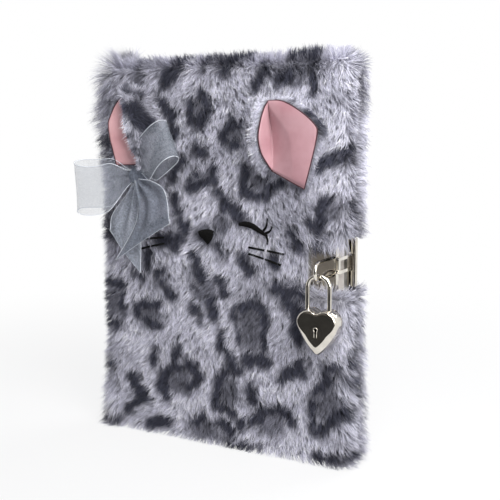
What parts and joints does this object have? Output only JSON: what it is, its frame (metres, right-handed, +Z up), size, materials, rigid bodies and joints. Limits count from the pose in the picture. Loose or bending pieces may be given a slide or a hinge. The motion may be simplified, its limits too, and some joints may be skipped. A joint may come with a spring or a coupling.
{
  "type": "diary with lock",
  "caption": "Upright diary in spotted plush with folded satin-lined ears and a sheer bow; its covers and page groups turn on the spine, and a hasp and a heart padlock close it.",
  "frame": {"origin": "middle of the boards' span on the flat foot of the closed book's pile, under the page block", "axes": "+X from the spine to the fore-edge, +Y from the front cover to the back cover, +Z up"},
  "size_m": [0.1667, 0.0529, 0.221],
  "materials": {
    "plush": "long-pile plush with a spotted print",
    "plush_edge": "long-pile plush in the bending joint",
    "satin": "pink satin lining",
    "ribbon": "sheer organza ribbon",
    "board": "grey book board",
    "paper": "uncoated page paper",
    "endpaper": "plain endpaper",
    "cloth": "cotton lining cloth",
    "nickel": "bright nickel plate",
    "steel": "plain steel"
  },
  "bodies": {
    "block": {"spine_board": "board", "spine_plush": "plush", "spine_lining": "cloth", "head_band": "cloth", "tail_band": "cloth", "rear_leaves": "paper", "front_joint_plush": "plush_edge", "back_joint_plush": "plush_edge"},
    "front_cover": {"front_board": "board", "front_plush": "plush", "front_endpaper": "endpaper", "front_clasp_plate": "nickel", "front_rivet_low": "nickel", "front_rivet_high": "nickel", "lock_staple": "nickel", "right_ear_plush": "plush", "right_ear_lining": "satin", "left_ear_plush": "plush", "left_ear_lining": "satin", "bow_left_loop": "ribbon", "bow_right_loop": "ribbon", "bow_left_tail": "ribbon", "bow_right_tail": "ribbon", "bow_knot": "ribbon"},
    "back_cover": {"back_board": "board", "back_plush": "plush", "back_endpaper": "endpaper", "back_clasp_plate": "nickel", "back_rivet_low": "nickel", "back_rivet_high": "nickel", "hasp_pin": "steel"},
    "front_leaves": {"front_leaves": "paper"},
    "middle_leaves": {"middle_leaves": "paper"},
    "hasp": {"hasp_strap": "nickel"},
    "shackle": {"shackle": "nickel"},
    "padlock": {"padlock_case": "nickel", "padlock_cover": "nickel", "latch_spring": "steel"},
    "key_plug": {"key_plug": "steel"},
    "latch": {"latch": "steel"}
  },
  "joints": [
    {"name": "front_cover_open", "type": "hinge", "parent": "block", "child": "front_cover", "pos_m": [-0.0665, -0.0075, 0.11], "axis": [0, 0, -1], "range_deg": [0, 110], "deforming": ["front_joint_plush"]},
    {"name": "back_cover_open", "type": "hinge", "parent": "block", "child": "back_cover", "pos_m": [-0.0665, 0.0075, 0.11], "axis": [0, 0, 1], "range_deg": [0, 90], "deforming": ["back_joint_plush"]},
    {"name": "front_leaves_turn", "type": "hinge", "parent": "block", "child": "front_leaves", "pos_m": [-0.0665, -0.007, 0.11], "axis": [0, 0, -1], "range_deg": [0, 99.5]},
    {"name": "middle_leaves_turn", "type": "hinge", "parent": "block", "child": "middle_leaves", "pos_m": [-0.0665, -0.004, 0.11], "axis": [0, 0, -1], "range_deg": [0, 48.8]},
    {"name": "hasp_swing", "type": "hinge", "parent": "back_cover", "child": "hasp", "pos_m": [0.0731, 0.0089, 0.109], "axis": [0, 0, 1], "range_deg": [0, 150]},
    {"name": "padlock_swing", "type": "hinge", "parent": "front_cover", "child": "shackle", "pos_m": [0.065, -0.0203, 0.1047], "axis": [-1, 0, 0], "range_deg": [0, 80]},
    {"name": "padlock_drop", "type": "slide", "parent": "shackle", "child": "padlock", "axis": [0, 0, -1], "range_m": [0, 0.0082]},
    {"name": "key_turn", "type": "hinge", "parent": "padlock", "child": "key_plug", "pos_m": [0.065, -0.0203, 0.0756], "axis": [0, -1, 0], "range_deg": [0, 90.5]},
    {"name": "latch_slide", "type": "slide", "parent": "padlock", "child": "latch", "axis": [-1, 0, 0], "range_m": [0, 0.00312], "deforming": ["latch_spring"]}
  ],
  "couplings": [
    {"joint": "front_leaves_turn", "follows": "front_cover_open", "ratio": 0.9},
    {"joint": "middle_leaves_turn", "follows": "front_cover_open", "ratio": 0.44},
    {"joint": "key_turn", "follows": "padlock_drop", "rad_per_m": 191.56},
    {"joint": "latch_slide", "follows": "padlock_drop", "ratio": 0.37805}
  ]
}
